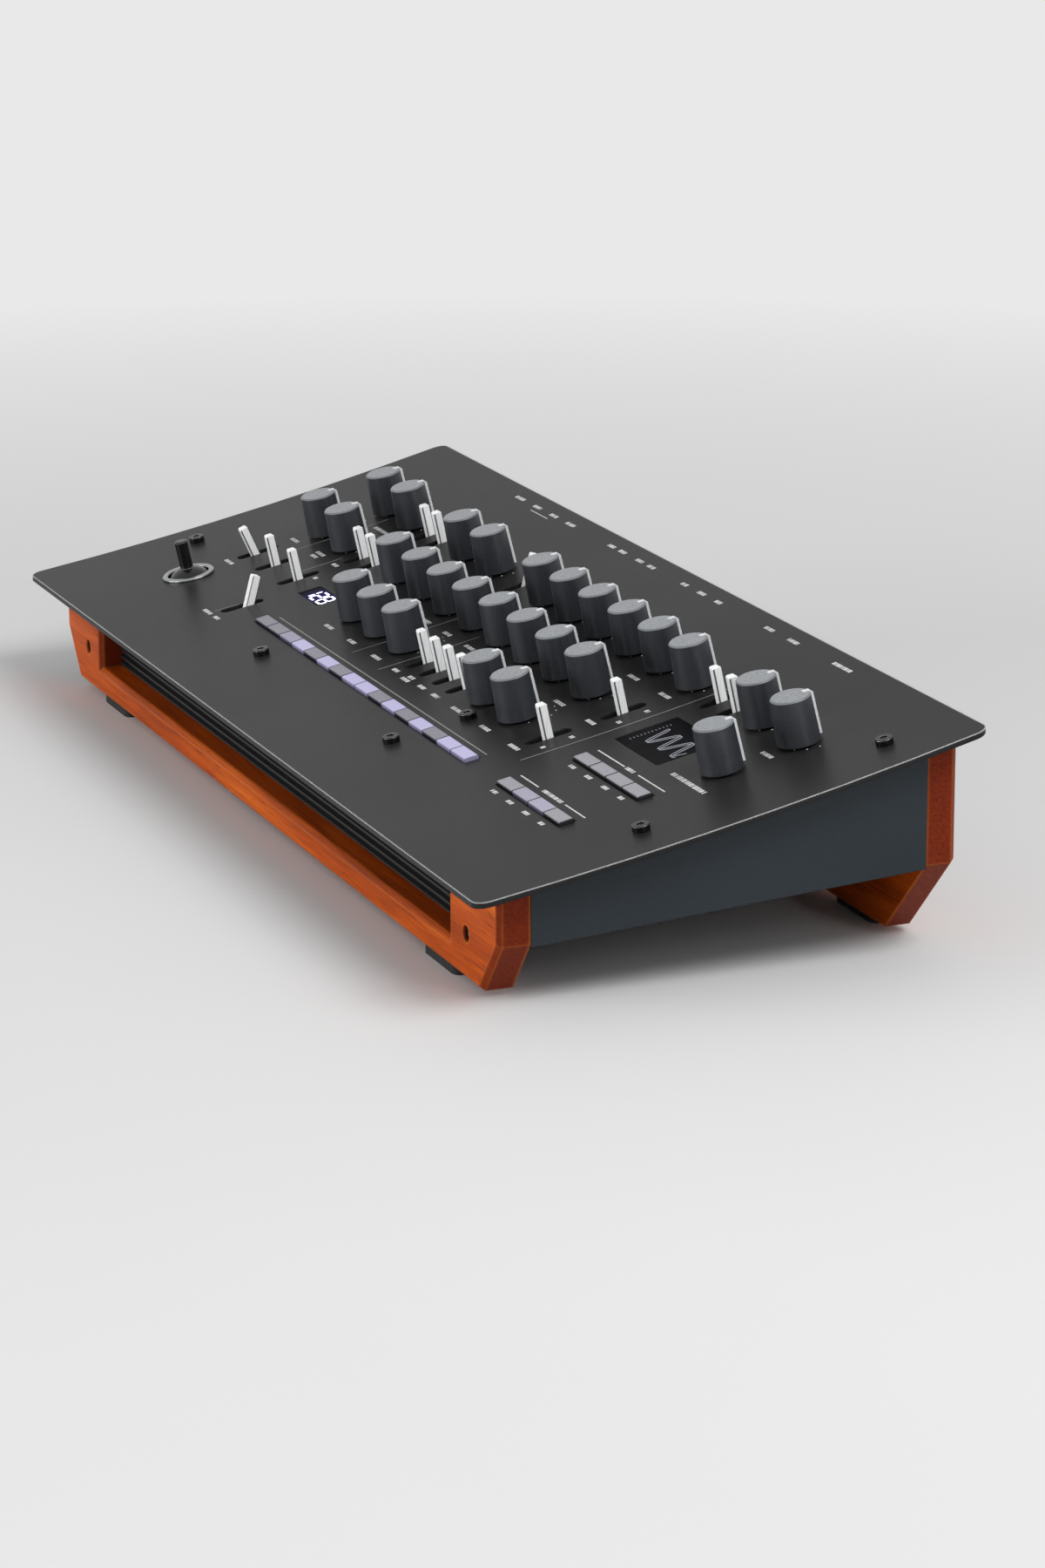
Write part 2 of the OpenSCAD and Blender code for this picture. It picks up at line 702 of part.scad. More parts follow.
module pot(at) at_board(at) difference() {
    union() {
        box_on(pot_body);
        cylinder(r = pot_bushing_r, h = pot_body[2] + pot_bushing_h);
    }
    translate([0, 0, pot_body[2] + pot_bushing_h - pot_bore])
        cylinder(r = shaft_r + pin_play, h = pot_bore + 1);
}

module lever_switch(at) at_board(at) {
    lift = board_drop(at[1]) - lever_pivot;
    wide = cheek_gap + 2 * cheek_t;
    difference() {
        box_on([wide, cheek_d, lift + cheek_above_pivot]);
        translate([0, 0, switch_foot_h])
            box_on([cheek_gap, cheek_d + 1, lift + cheek_above_pivot]);
        translate([0, 0, lift]) rotate([0, 90, 0])
            cylinder(r = lever_pin_r + pin_play, h = wide + 1, center = true);
    }
}

module key(at) at_board(at) difference() {
    box_on(key_switch);
    translate([0, 0, key_switch[2] - key_bore])
        cylinder(r = stem_r + pin_play, h = key_bore + 1);
}

module standoff(at) at_face(at, -panel_t - seat_gap) {
    // The standoff's foot stops short of the board by its own lean.
    lean = slope_at(at[1]) - board_tilt;
    long = board_drop(at[1]) - panel_t - 2 * seat_gap - standoff_r * sin(abs(lean));
    difference() {
        translate([0, 0, -long]) cylinder(r = standoff_r, h = long, $fn = 6);
        translate([0, 0, -standoff_bore])
            cylinder(r = screw_r + pin_play, h = standoff_bore + 1);
    }
}

module circuit_board() on_desk() color([0.1, 0.35, 0.2]) {
    at_control([0, board_y], -board_depth - board_t)
        box_on([board_size[0], board_size[1], board_t]);
    for (at = all_knobs_at) pot(at);
    for (l = LEVERS) lever_switch(l[1]);
    for (at = concat(steps_at, functions_at)) key(at);
    for (at = inner_screws_at) standoff(at);
    display_module(screen_at, screen_size);
    display_module(digits_at, digits_size);
}

// ---- Screws ----

// A button-head screw, its seat in z = 0.
module panel_screw() difference() {
    union() {
        rotate_extrude() polygon([
            [0, 0], [screw_head[0], 0], [screw_head[0], 0.5],
            [screw_head[0] * 0.6, screw_head[1]], [0, screw_head[1]]
        ]);
        translate([0, 0, -screw_l]) cylinder(r = screw_r, h = screw_l + eps);
    }
    translate([0, 0, screw_head[1] - hex_key[1]])
        cylinder(r = hex_key[0], h = 2 * hex_key[1], $fn = 6);
}

// A rail screw, its head's seat in z = 0, pointing down.
module rail_screw() difference() {
    union() {
        cylinder(r = rail_screw_head[0], h = rail_screw_head[1]);
        translate([0, 0, -rail_screw_l]) cylinder(r = screw_r, h = rail_screw_l + eps);
    }
    translate([0, 0, rail_screw_head[1] - hex_key[1]])
        cylinder(r = hex_key[0], h = 2 * hex_key[1], $fn = 6);
}

module screws() on_desk() color([0.05, 0.05, 0.05]) {
    for (at = concat(inner_screws_at, edge_screws_at)) at_face(at, seat_gap) panel_screw();
    for (s = [-1, 1]) {
        translate([s * (rail_w / 2 - front_screw[0]),
                   tray_front - front_rail_t + rail_cbore[1], front_screw[1]])
            rotate([90, 0, 0]) rail_screw();
        translate([s * (rail_w / 2 - rear_screw[0]),
                   tray_rear + rear_rail_t - rail_cbore[1], rear_screw[1]])
            rotate([-90, 0, 0]) rail_screw();
    }
}

// ---- Rear connectors ----

// A jack: body behind the wall, bushing through it, nut outside.
module jack(body, bushing_r, nut_r, nut_sides, bore_r) difference() {
    union() {
        translate([0, 0, -tray_t - body[1]]) box_on([body[0], body[2], body[1]]);
        translate([0, 0, -tray_t - eps]) cylinder(r = bushing_r, h = tray_t + bushing_out);
        cylinder(r = nut_r, h = nut_t, $fn = nut_sides);
    }
    translate([0, 0, -tray_t - body[1] + 2])
        cylinder(r = bore_r, h = body[1] + tray_t + bushing_out);
}

module din_socket() difference() {
    union() {
        translate([0, 0, -tray_t - din_body[1]]) box_on([din_body[0], din_body[2], din_body[1]]);
        translate([0, 0, -tray_t - eps]) cylinder(r = din_r, h = tray_t + shell_out);
    }
    difference() {
        translate([0, 0, -1]) cylinder(r = din_r - 0.6, h = 10);
        translate([0, 0, -2]) cylinder(r = din_r - 1.2, h = 2 + shell_out - 0.4);
    }
    for (a = [0, 45, 90, 135, 180]) rotate([0, 0, a + 180])
        translate([din_pin[0], 0, -din_pin[2]]) cylinder(r = din_pin[1], h = past);
}

module usb_socket() difference() {
    translate([0, 0, -usb_body[1]])
        box_on([usb_body[0], usb_body[2], usb_body[1] + shell_out]);
    difference() {
        translate([0, 0, -usb_depth]) box_on([usb_mouth[0], usb_mouth[1], past]);
        translate([0, 0, -10]) box_on([usb_tongue[0], usb_tongue[1], 10]);
    }
}

module dc_socket() difference() {
    union() {
        translate([0, 0, -tray_t - dc_body[1]]) box_on([dc_body[0], dc_body[2], dc_body[1]]);
        translate([0, 0, -tray_t - eps]) cylinder(r = dc_r, h = tray_t + shell_out);
    }
    difference() {
        translate([0, 0, -9]) cylinder(r = dc_mouth_r, h = 20);
        translate([0, 0, -10]) cylinder(r = 1, h = 10);
    }
}

module rear_sockets() on_desk() color([0.35, 0.35, 0.36]) {
    for (x = jacks_x) at_socket(x) jack(jack_body, jack_bushing_r, jack_nut_r, 6, jack_r);
    for (x = minis_x) at_socket(x) jack(mini_body, mini_bushing_r, mini_nut_r, 32, mini_r);
    for (x = dins_x) at_socket(x) din_socket();
    at_socket(usb_x) usb_socket();
    at_socket(power_x) dc_socket();
}

// ---- Nodes ----

top_panel();
chassis();
front_rail();
rear_rail();
front_vent();
rear_sockets();
circuit_board();
display_glass();
screws();
rubber_feet();
joystick_base();
joystick_gimbal();
joystick();
knob(encoder_at);  // program_encoder
step_buttons();
function_buttons();
for (k = KNOBS) knob(k[1]);
for (l = LEVERS) lever(l[1], l[2]);
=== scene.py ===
# Looks of a wide desktop synthesizer module: coated panel and tray, stained wooden
# rails, knobs, bar levers, a joystick, lit buttons, displays and printed scales.
# Metres, in the part's own frame: +X right along the panel, +Y to the rear, +Z up.
import json
import math

import bmesh
import bpy
from mathutils import Matrix, Vector
from mathutils.bvhtree import BVHTree


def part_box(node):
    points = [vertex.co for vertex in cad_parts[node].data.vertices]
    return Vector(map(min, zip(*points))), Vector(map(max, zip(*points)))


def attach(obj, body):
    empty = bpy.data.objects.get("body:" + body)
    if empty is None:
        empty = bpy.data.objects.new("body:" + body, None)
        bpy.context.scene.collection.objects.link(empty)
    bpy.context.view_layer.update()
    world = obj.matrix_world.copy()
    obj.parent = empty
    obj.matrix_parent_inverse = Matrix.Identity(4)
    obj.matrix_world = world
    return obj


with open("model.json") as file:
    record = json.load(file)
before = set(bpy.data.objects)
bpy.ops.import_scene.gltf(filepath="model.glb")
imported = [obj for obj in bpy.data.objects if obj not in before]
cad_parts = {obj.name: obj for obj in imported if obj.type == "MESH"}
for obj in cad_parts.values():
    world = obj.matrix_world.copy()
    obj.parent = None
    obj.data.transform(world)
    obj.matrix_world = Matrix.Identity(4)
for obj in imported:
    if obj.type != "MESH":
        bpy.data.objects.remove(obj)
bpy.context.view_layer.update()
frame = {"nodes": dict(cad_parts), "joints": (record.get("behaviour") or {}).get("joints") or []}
nodes = frame["nodes"]
joints = {j["name"]: j for j in frame["joints"]}
scene = bpy.context.scene

# ---- Sizes worked out from the frame ----

MM = 0.001
panel_low, panel_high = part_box("top_panel")
tray_rear_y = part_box("chassis")[1].y
front_edge_y = panel_low.y
controls_up = Vector(joints["knob_row1_01_turn"]["axis"]).normalized()
controls_back = controls_up.cross(Vector((1, 0, 0))).normalized()
across_x = Vector((1, 0, 0))

SCREEN_X, DIGITS_X = 160 * MM, -111 * MM
PANE_REACH = 25 * MM
ROUND_SOCKETS_X = (-47 * MM, -19 * MM)
SOCKET_REACH = 7 * MM
INSERT_RADIUS = 6.9 * MM
BOARD_THICK = 1.7 * MM
NOISE_SPAN = (0.3, 0.7)  # where most of a noise's values lie


def mesh_tree(node):
    mesh = nodes[node].data
    return BVHTree.FromPolygons([v.co for v in mesh.vertices],
                                [p.vertices for p in mesh.polygons])


panel_tree = mesh_tree("top_panel")


def panel_y(depth):
    """Y of a place given in millimetres from the panel's front edge."""
    return front_edge_y + depth * MM


def panel_point(x, y, lift=0.0):
    """A point lifted off the panel's face, square to the face."""
    hit, normal, _, _ = panel_tree.ray_cast(Vector((x, y, 1)), Vector((0, 0, -1)))
    if hit is None:
        hit, normal, _, _ = panel_tree.find_nearest(Vector((x, y, panel_high.z)))
    return hit + normal * lift


def glass_centre(near):
    """Centre of the upper face of the pane whose middle lies near this x."""
    mesh = nodes["display_glass"].data
    spots = [v.co for v in mesh.vertices if abs(v.co.x - near) < PANE_REACH]
    xs = [p.x for p in spots]
    ups = [p.dot(controls_up) for p in spots]
    backs = [p.dot(controls_back) for p in spots]
    return (across_x * (min(xs) + max(xs)) / 2 + controls_up * max(ups)
            + controls_back * (min(backs) + max(backs)) / 2)


screen_centre = glass_centre(SCREEN_X)
digits_centre = glass_centre(DIGITS_X)


def colour(red, green, blue):
    """Linear colour of a paint that reads red, green, blue from 0 to 255."""
    def linear(c):
        c /= 255
        return c / 12.92 if c <= 0.04045 else ((c + 0.055) / 1.055) ** 2.4
    return (linear(red), linear(green), linear(blue), 1.0)


BACKDROP = colour(233, 233, 233)


# ---- Finishes ----

def shader_of(material):
    return material.node_tree.nodes["Principled BSDF"]


def finish(name, base, roughness, metallic=0.0, **more):
    """A new material whose constants sit on the shader's own sockets."""
    material = bpy.data.materials.new(name)
    material.use_nodes = True
    shader = shader_of(material)
    shader.inputs["Base Color"].default_value = base
    shader.inputs["Roughness"].default_value = roughness
    shader.inputs["Metallic"].default_value = metallic
    for socket, value in more.items():
        shader.inputs[socket.replace("_", " ")].default_value = value
    return material


def put(material, kind, inputs=None, **settings):
    """Adds a node, with its inputs set or linked by name or number."""
    tree = material.node_tree
    node = tree.nodes.new("ShaderNode" + kind)
    for key, value in settings.items():
        setattr(node, key, value)
    for key, value in (inputs or {}).items():
        if isinstance(value, bpy.types.NodeSocket):
            tree.links.new(value, node.inputs[key])
        else:
            node.inputs[key].default_value = value
    return node


def drive(material, **sockets):
    """Links node outputs to the shader's sockets."""
    for socket, output in sockets.items():
        target = shader_of(material).inputs[socket.replace("_", " ")]
        material.node_tree.links.new(output, target)


def object_point(material):
    return put(material, "TexCoord").outputs["Object"]


def measured(material, operation, *vectors):
    """A number worked out from vectors, such as a dot product or a distance."""
    return put(material, "VectorMath", dict(enumerate(vectors)),
               operation=operation).outputs["Value"]


def place(material, scale=(1, 1, 1), turn=(0, 0, 0)):
    """Object coordinates, scaled and turned."""
    return put(material, "Mapping", {"Vector": object_point(material), "Scale": scale,
                                     "Rotation": turn}).outputs[0]


def grain(material, where, scale, detail=3.0, roughness=0.55, distortion=0.0):
    return put(material, "TexNoise", {"Vector": where, "Scale": scale, "Detail": detail,
                                      "Roughness": roughness, "Distortion": distortion}).outputs[0]


def spread(material, value, low, high, to_low=0.0, to_high=1.0):
    return put(material, "MapRange", {"Value": value, "From Min": low, "From Max": high,
                                      "To Min": to_low, "To Max": to_high}).outputs[0]


def sums(material, operation, first, second=0.0):
    return put(material, "Math", {0: first, 1: second}, operation=operation).outputs[0]


def mixed(material, share, first, second):
    """Mixes two colours given as constants or sockets."""
    node = put(material, "Mix", {"Factor": share}, data_type="RGBA")
    for number, value in ((6, first), (7, second)):
        if isinstance(value, bpy.types.NodeSocket):
            material.node_tree.links.new(value, node.inputs[number])
        else:
            node.inputs[number].default_value = value
    return node.outputs[2]


def bumped(material, height, strength, distance, normal=None):
    inputs = {"Height": height, "Strength": strength, "Distance": distance}
    if normal is not None:
        inputs["Normal"] = normal
    return put(material, "Bump", inputs).outputs[0]


def bevelled(material, radius, samples=6):
    """Normals of edges rounded by radius."""
    return put(material, "Bevel", {"Radius": radius}, samples=samples).outputs[0]


def rounded(material, radius):
    """Normals of edges rounded by radius, and a mask of where they are."""
    soft = bevelled(material, radius)
    flat = put(material, "NewGeometry").outputs["True Normal"]
    return soft, spread(material, measured(material, "DOT_PRODUCT", soft, flat), 0.995, 0.80)


def facing(material, direction):
    """How far a face's own normal points along a direction of the part."""
    own = put(material, "TexCoord").outputs["Normal"]
    return measured(material, "DOT_PRODUCT", own, tuple(direction))


def coord(material, axis):
    return put(material, "SeparateXYZ", {0: object_point(material)}).outputs[axis]


def near_outline(material, node, width):
    """A mask of the band of this width inside a node's outline, seen from above."""
    low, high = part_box(node)
    bands = []
    for axis, near, far in (("X", low.x, high.x), ("Y", low.y, high.y)):
        middle, half = (near + far) / 2, (far - near) / 2
        off = sums(material, "ABSOLUTE", sums(material, "SUBTRACT", coord(material, axis), middle))
        bands.append(spread(material, off, half - width, half - width * 0.6))
    return sums(material, "MAXIMUM", *bands)


def powder_coat(name, node, base, sheen, roughness, edge, edge_share=0.6):
    """Fine powder coat on sheet metal: speckle, a cloudy drift and a painted highlight along the
    upper side of its outer edges.
    """
    material = finish(name, base, roughness, Specular_IOR_Level=0.1)
    speckle = grain(material, place(material), 2600, 2.0)
    cloud = grain(material, place(material), 9, 2.0)
    tone = sums(material, "ADD", sums(material, "MULTIPLY", speckle, 0.55),
                sums(material, "MULTIPLY", cloud, 0.45))
    body = mixed(material, spread(material, tone, 0.36, 0.64), base, sheen)
    # Painted highlight: near the outline, rounded edges that face up are mixed towards the edge
    # tone.
    soft, edge_light_and_shade = rounded(material, 0.9 * MM)
    upward = put(material, "SeparateXYZ", {0: soft}).outputs["Z"]
    edge_light_and_shade = sums(material, "MULTIPLY", sums(material, "MULTIPLY", edge_light_and_shade, edge_share),
                spread(material, upward, 0.15, 0.5))
    edge_light_and_shade = sums(material, "MULTIPLY", edge_light_and_shade, near_outline(material, node, 6 * MM))
    drive(material, Base_Color=mixed(material, edge_light_and_shade, body, edge),
          Roughness=spread(material, speckle, *NOISE_SPAN, roughness - 0.07, roughness + 0.07),
          Normal=bumped(material, speckle, 0.22, 0.12 * MM, soft))
    return material


def stained_wood(name):
    """Orange-brown stain on straight-grained wood along X, under an oil finish."""
    dark, mid, light = colour(122, 42, 6), colour(178, 74, 10), colour(220, 112, 30)
    material = finish(name, mid, 0.42, Specular_IOR_Level=0.06)
    wander = grain(material, place(material, (3, 26, 26)), 1.0, 3.0)
    board = place(material, (3.5, 75, 75))
    drift = put(material, "CombineXYZ", {0: 0.0, 1: wander, 2: wander}).outputs[0]
    drift = put(material, "VectorMath", {0: drift, 1: (0, 2.6, 2.6)},
                operation="MULTIPLY").outputs[0]
    shifted = put(material, "VectorMath", {0: board, 1: drift}, operation="ADD").outputs[0]
    figure = grain(material, shifted, 1.0, 4.0, 0.5, 0.3)
    fibre = grain(material, place(material, (30, 1300, 1300)), 1.0, 2.0)
    pores = grain(material, place(material, (70, 2300, 2300)), 1.0, 1.0)
    pores = spread(material, pores, 0.62, 0.70)
    tone = sums(material, "ADD", sums(material, "MULTIPLY", figure, 0.7),
                sums(material, "MULTIPLY", fibre, 0.3))
    ramp = put(material, "ValToRGB", {0: tone})
    ramp.color_ramp.elements[0].position, ramp.color_ramp.elements[0].color = 0.33, dark
    ramp.color_ramp.elements[1].position, ramp.color_ramp.elements[1].color = 0.70, light
    middle = ramp.color_ramp.elements.new(0.5)
    middle.color = mid
    long_grain = mixed(material, sums(material, "MULTIPLY", pores, 0.55), ramp.outputs[0],
                       colour(92, 30, 5))
    end_tone = grain(material, place(material, (200, 900, 2600)), 1.0, 3.0)
    end_grain = mixed(material, spread(material, end_tone, 0.35, 0.65), colour(96, 32, 13),
                      colour(120, 44, 19))
    ends = spread(material, sums(material, "ABSOLUTE", facing(material, (1, 0, 0))), 0.35, 0.6)
    soft, edge_light_and_shade = rounded(material, 1.8 * MM)
    body = mixed(material, ends, long_grain, end_grain)
    relief = sums(material, "SUBTRACT", fibre, pores)
    # Painted highlight: the rounded edges are mixed halfway towards a pale orange.
    drive(material, Base_Color=mixed(material, sums(material, "MULTIPLY", edge_light_and_shade, 0.5), body,
                                     colour(236, 138, 62)),
          Roughness=spread(material, fibre, *NOISE_SPAN, 0.36, 0.50),
          Normal=bumped(material, relief, 0.25, 0.10 * MM, soft))
    return material


def knob_plastic(name):
    """Dark blue-grey moulded knob: smooth satin sides, and a fine-turned top painted much paler,
    partly its own tone and partly a painted highlight; painted highlights on its chamfer and edges.
    """
    side, top = colour(36, 39, 43), colour(116, 119, 122)
    material = finish(name, side, 0.34, Specular_IOR_Level=0.6)
    fine = grain(material, place(material), 1900, 2.0)
    crown = spread(material, facing(material, controls_up), 0.90, 0.985)
    rim = spread(material, facing(material, controls_up), 0.40, 0.60)
    soft, edge_light_and_shade = rounded(material, 0.35 * MM)
    body = mixed(material, spread(material, fine, *NOISE_SPAN), side, colour(46, 49, 54))
    # Painted highlight on the chamfer between the side and the top.
    body = mixed(material, sums(material, "MULTIPLY", rim, 0.45), body, colour(146, 150, 156))
    # The top is mixed much paler than the sides: partly its own tone, partly a painted highlight.
    body = mixed(material, crown, body, mixed(material, spread(material, fine, 0.4, 0.6), top,
                                              colour(150, 153, 157)))
    # Painted highlight along the rounded edges.
    drive(material, Base_Color=mixed(material, sums(material, "MULTIPLY", edge_light_and_shade, 0.4), body,
                                     colour(150, 154, 160)),
          Roughness=spread(material, fine, *NOISE_SPAN, 0.32, 0.42),
          Normal=bumped(material, fine, 0.12, 0.08 * MM, soft))
    return material


def lever_metal(name):
    """Bright satin metal bar, brushed along its length, with a painted dark reflection on the
    chamfers of its long edges.
    """
    material = finish(name, colour(250, 250, 250), 0.28, Specular_IOR_Level=0.8)
    brushed = grain(material, place(material, (2600, 2600, 90)), 1.0, 2.0)
    nx = sums(material, "ABSOLUTE", facing(material, (1, 0, 0)))
    # Painted dark reflection: the chamfers between the faces are mixed towards dark grey.
    painted_dark_reflection = sums(material, "MULTIPLY", spread(material, nx, 0.45, 0.62),
                  spread(material, nx, 0.88, 0.78))
    body = mixed(material, spread(material, brushed, *NOISE_SPAN), colour(244, 245, 246),
                 colour(255, 255, 255))
    drive(material, Base_Color=mixed(material, painted_dark_reflection, body, colour(84, 86, 90)),
          Roughness=spread(material, brushed, *NOISE_SPAN, 0.22, 0.36),
          Normal=bumped(material, brushed, 0.10, 0.05 * MM, bevelled(material, 0.25 * MM)))
    return material


def plain_metal(name, base, roughness, edge_highlight_tone, scale=1500):
    """Turned or blackened metal with a fine surface and a painted highlight on its edges."""
    material = finish(name, base, roughness, 1.0)
    fine = grain(material, place(material), scale, 2.0)
    soft, edge_light_and_shade = rounded(material, 0.3 * MM)
    # Painted highlight: the rounded edges are mixed towards a paler tone.
    drive(material, Base_Color=mixed(material, sums(material, "MULTIPLY", edge_light_and_shade, 0.6), base,
                                     edge_highlight_tone),
          Roughness=spread(material, fine, *NOISE_SPAN, roughness - 0.06, roughness + 0.08),
          Normal=bumped(material, fine, 0.12, 0.06 * MM, soft))
    return material


def moulded(name, base, roughness, edge_highlight_tone, scale=1600, depth=0.1, bevel=0.3, edge_highlight_share=0.4):
    """Moulded plastic or rubber with a fine grain and edges that catch the light."""
    material = finish(name, base, roughness, Specular_IOR_Level=0.45)
    fine = grain(material, place(material), scale, 3.0)
    soft, edge_light_and_shade = rounded(material, bevel * MM)
    pale = tuple(min(1.0, c * 1.25) for c in base[:3]) + (1.0,)
    body = mixed(material, spread(material, fine, *NOISE_SPAN), base, pale)
    # Painted highlight: the rounded edges are mixed towards a paler tone.
    drive(material, Base_Color=mixed(material, sums(material, "MULTIPLY", edge_light_and_shade, edge_highlight_share), body,
                                     edge_highlight_tone),
          Roughness=spread(material, fine, *NOISE_SPAN, roughness - 0.06, roughness + 0.06),
          Normal=bumped(material, fine, depth, 0.1 * MM, soft))
    return material


def lit_caps(name, node, count, levels, glow_colour, dull, pale, shade, front_row_only=False):
    """Translucent caps in one row along X; levels gives how strongly each one glows. Their sides
    and edges are painted dark as shade.
    """
    low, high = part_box(node)
    material = finish(name, dull, 0.34, Specular_IOR_Level=0.5, Emission_Color=glow_colour)
    fine = grain(material, place(material), 1400, 2.0)
    along = spread(material, coord(material, "X"), low.x, high.x)
    ramp = put(material, "ValToRGB", {0: along})
    ramp.color_ramp.interpolation = "CONSTANT"
    stops = ramp.color_ramp.elements
    last = None
    for i in range(count):
        level = levels.get(i + 1, 0.0)
        if last is None:
            stops[0].position, stops[0].color = 0.0, (level, level, level, 1)
            stops.remove(stops[1])
        elif level != last:
            stops.new(i / count).color = (level, level, level, 1)
        last = level
    level_of = ramp.outputs[0]
    if front_row_only:
        middle = (low.y + high.y) / 2
        level_of = sums(material, "MULTIPLY", level_of,
                        spread(material, coord(material, "Y"), middle + MM, middle - MM))
    # Painted shade: the sides are mixed towards the shade colour, less where a cap glows.
    crown = spread(material, facing(material, controls_up), 0.45, 0.9)
    soft, edge_light_and_shade = rounded(material, 0.6 * MM)
    top = mixed(material, sums(material, "MULTIPLY", level_of, 0.8),
                mixed(material, spread(material, fine, *NOISE_SPAN), dull, pale), glow_colour)
    side = mixed(material, sums(material, "MULTIPLY", level_of, 0.45), shade, glow_colour)
    body = mixed(material, crown, side, top)
    lit = sums(material, "MULTIPLY", level_of, spread(material, crown, 0, 1, 0.3, 1.0))
    # Painted shade between the caps: the rounded edges are mixed towards the shade colour.
    drive(material, Base_Color=mixed(material, sums(material, "MULTIPLY", edge_light_and_shade, 0.65), body, shade),
          Emission_Strength=sums(material, "MULTIPLY", lit, 0.12),
          Normal=bumped(material, fine, 0.08, 0.08 * MM, soft))
    return material


def glowing(name, tone, strength):
    """Light from display segments, a little uneven as a real cell is."""
    material = finish(name, tone, 0.5, Emission_Color=tone)
    cell = grain(material, place(material), 900, 1.0)
    drive(material, Emission_Strength=spread(material, cell, 0.2, 0.8, strength * 0.85, strength))
    return material


def printed(name, tone, faint):
    """Screen-printed ink, slightly rubbed where the screen laid it thin."""
    material = finish(name, tone, 0.55)
    thin = grain(material, place(material), 1500, 2.0)
    drive(material, Base_Color=mixed(material, spread(material, thin, 0.35, 0.65), faint, tone))
    return material


def display_pane(name):
    """Black glass, dull enough to stay dark, with a painted violet glow on the glass round the lit
    digits.
    """
    material = finish(name, colour(6, 6, 9), 0.3, Specular_IOR_Level=0.01,
                      Emission_Color=colour(74, 70, 214))
    haze = grain(material, place(material), 60, 2.0)
    off = measured(material, "DISTANCE", object_point(material), tuple(digits_centre))
    # Painted glow: the glass itself gives off violet light, fading with distance from the digits.
    painted_glow = spread(material, off, 2 * MM, 11 * MM, 0.14, 0.0)
    drive(material, Emission_Strength=painted_glow,
          Base_Color=mixed(material, haze, colour(4, 4, 6), colour(9, 9, 13)),
          Roughness=spread(material, haze, *NOISE_SPAN, 0.25, 0.35),
          Normal=bevelled(material, 0.2 * MM, 4))
    return material


def rear_connectors(name):
    """Nickel nuts and shells outside the tray, black bodies inside it."""
    material = finish(name, colour(30, 30, 31), 0.35)
    outside = spread(material, coord(material, "Y"), tray_rear_y - 0.2 * MM, tray_rear_y)
    spots = [v.co for v in nodes["rear_sockets"].data.vertices]
    for x in ROUND_SOCKETS_X:  # their black inserts, just inside their rims
        rim = max(spot.y for spot in spots if abs(spot.x - x) < SOCKET_REACH)
        off = sums(material, "ABSOLUTE", sums(material, "SUBTRACT", coord(material, "X"), x))
        inside = spread(material, off, INSERT_RADIUS, INSERT_RADIUS - 0.1 * MM)
        insert = sums(material, "MULTIPLY", inside,
                      spread(material, coord(material, "Y"), rim - 0.1 * MM, rim - 0.3 * MM))
        outside = sums(material, "MULTIPLY", outside, sums(material, "SUBTRACT", 1.0, insert))
    fine = grain(material, place(material), 1500, 2.0)
    nickel = mixed(material, spread(material, fine, *NOISE_SPAN), colour(168, 168, 166),
                   colour(190, 190, 187))
    drive(material, Base_Color=mixed(material, outside, colour(26, 26, 27), nickel),
          Metallic=outside,
          Roughness=spread(material, fine, *NOISE_SPAN, 0.26, 0.40),
          Normal=bevelled(material, 0.25 * MM))
    return material


def circuit_green(name):
    """Green board below, tin and black parts above it."""
    material = finish(name, colour(20, 84, 52), 0.4)
    height = measured(material, "DOT_PRODUCT", object_point(material), tuple(controls_up))
    foot = min(nodes["circuit_board"].data.vertices, key=lambda v: v.co.dot(controls_up))
    top = foot.co.dot(controls_up) + BOARD_THICK
    above = spread(material, height, top, top + 0.1 * MM)
    flecks = spread(material, grain(material, place(material), 160, 2.0), 0.52, 0.56)
    ground = mixed(material, sums(material, "MULTIPLY", flecks, 0.4), colour(18, 74, 46),
                   colour(40, 108, 62))
    fine = grain(material, place(material), 1200, 2.0)
    cans = mixed(material, spread(material, fine, *NOISE_SPAN), colour(118, 120, 122),
                 colour(146, 148, 150))
    drive(material, Base_Color=mixed(material, above, ground, cans),
          Metallic=sums(material, "MULTIPLY", above, 0.85),
          Roughness=spread(material, fine, *NOISE_SPAN, 0.30, 0.45))
    return material


# The colour after the roughness is the tone of each coat's painted edge highlight.
panel_coat = powder_coat("panel_coat", "top_panel", colour(25, 25, 26), colour(39, 39, 40), 0.36,
                         colour(222, 222, 224), 1.0)
tray_coat = powder_coat("tray_coat", "chassis", colour(40, 45, 49), colour(51, 57, 62), 0.36,
                        colour(96, 102, 108), 0.4)
rail_wood = stained_wood("rail_wood")
knob_grey = knob_plastic("knob_grey")
lever_silver = lever_metal("lever_silver")
ring_silver = plain_metal("ring_silver", colour(160, 161, 163), 0.26, colour(225, 225, 227))
black_oxide = plain_metal("black_oxide", colour(38, 38, 40), 0.32, colour(150, 150, 152))
screw_black = plain_metal("screw_black", colour(52, 52, 54), 0.28, colour(210, 210, 212))
vent_black = moulded("vent_black", colour(10, 10, 11), 0.55, colour(30, 30, 32))
stick_black = moulded("stick_black", colour(10, 10, 11), 0.18, colour(190, 190, 192), edge_highlight_share=0.7)
gimbal_black = moulded("gimbal_black", colour(40, 40, 42), 0.42, colour(90, 90, 92))
foot_rubber = moulded("foot_rubber", colour(24, 24, 24), 0.85, colour(48, 48, 48), 1100, 0.3, 0.5)
pane_black = display_pane("pane_black")
connector_metal = rear_connectors("connector_metal")
board_green = circuit_green("board_green")
violet = colour(184, 179, 220)
